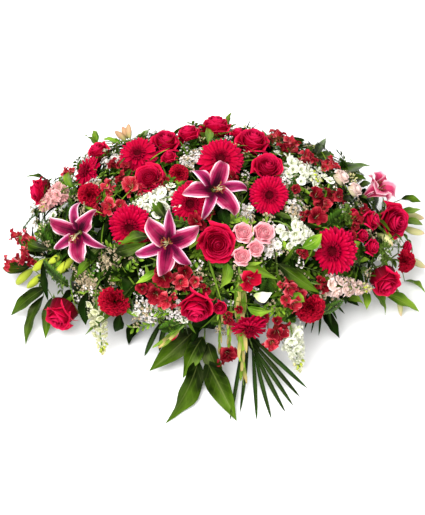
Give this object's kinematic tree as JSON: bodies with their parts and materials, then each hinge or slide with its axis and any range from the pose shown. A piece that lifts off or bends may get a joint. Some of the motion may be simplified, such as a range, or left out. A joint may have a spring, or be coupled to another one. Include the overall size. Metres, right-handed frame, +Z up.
{
  "type": "casket spray",
  "caption": "Long low mound of mixed fresh flowers and foliage, stems held in wet foam on a flat saddle tray, outer leaves trailing towards the lid.",
  "frame": {"origin": "middle of the saddle tray's flat underside", "axes": "+X to the right along the spray, its longest side; +Y to its back; +Z up, away from the lid"},
  "size_m": [1.0115, 0.8444, 0.4103],
  "materials": {
    "tray_plastic": "matt",
    "wet_foam": "matt, open-celled",
    "petal_magenta": "satin",
    "petal_red": "velvety",
    "petal_crimson": "satin",
    "petal_scarlet": "satin",
    "petal_pink": "satin",
    "petal_blush": "satin",
    "petal_white": "matt",
    "floret_cream": "matt",
    "leaf_lime": "satin",
    "leaf_green": "satin",
    "leaf_deep": "satin"
  },
  "bodies": {
    "root": {"saddle_tray": "tray_plastic", "foam_block": "wet_foam", "lily_centre": "petal_magenta", "lily_upper": "petal_magenta", "lily_left": "petal_magenta", "roses_crown": "petal_red", "roses_upper": "petal_red", "roses_centre": "petal_red", "rose_front_left": "petal_red", "roses_right": "petal_red", "roses_left": "petal_red", "roses_back": "petal_red", "gerbera_top": "petal_crimson", "gerberas_upper_left": "petal_crimson", "gerbera_upper_right": "petal_crimson", "gerbera_middle_left": "petal_crimson", "gerbera_right": "petal_crimson", "gerbera_middle": "petal_crimson", "gerbera_front": "petal_crimson", "lily_right": "petal_magenta", "carnation_left": "petal_red", "carnation_lower_left": "petal_red", "carnation_lower_right": "petal_red", "carnation_upper": "petal_red", "carnation_far_right": "petal_red", "spray_roses_red": "petal_red", "spray_roses_pink": "petal_pink", "spray_roses_blush": "petal_blush", "alstroemeria_left": "petal_scarlet", "alstroemeria_centre": "petal_scarlet", "alstroemeria_lower_right": "petal_scarlet", "alstroemeria_far_left": "petal_scarlet", "alstroemeria_right": "petal_scarlet", "gladiolus_centre": "petal_crimson", "gladiolus_buds": "petal_blush", "stock_upper_left": "petal_white", "stock_upper_right": "petal_white", "stock_right": "petal_white", "stock_lower_right": "petal_white", "stock_lower_left": "petal_white", "stock_pink_right": "petal_blush", "stock_pink_left": "petal_blush", "greens_left": "leaf_lime", "greens_right": "leaf_lime", "greens_upper_left": "leaf_lime", "greens_upper_right": "leaf_green", "greens_middle_left": "leaf_deep", "greens_front": "leaf_green", "greens_back_left": "leaf_deep", "greens_back_right": "leaf_deep", "palm_front": "leaf_green", "palm_right": "leaf_green", "statice_top": "petal_white", "statice_upper_right": "petal_white", "statice_left": "petal_white", "caspia_left": "floret_cream", "statice_centre": "petal_white", "statice_lower_left": "petal_white", "solidago_right": "leaf_lime", "fern_left": "leaf_lime"}
  },
  "joints": []
}
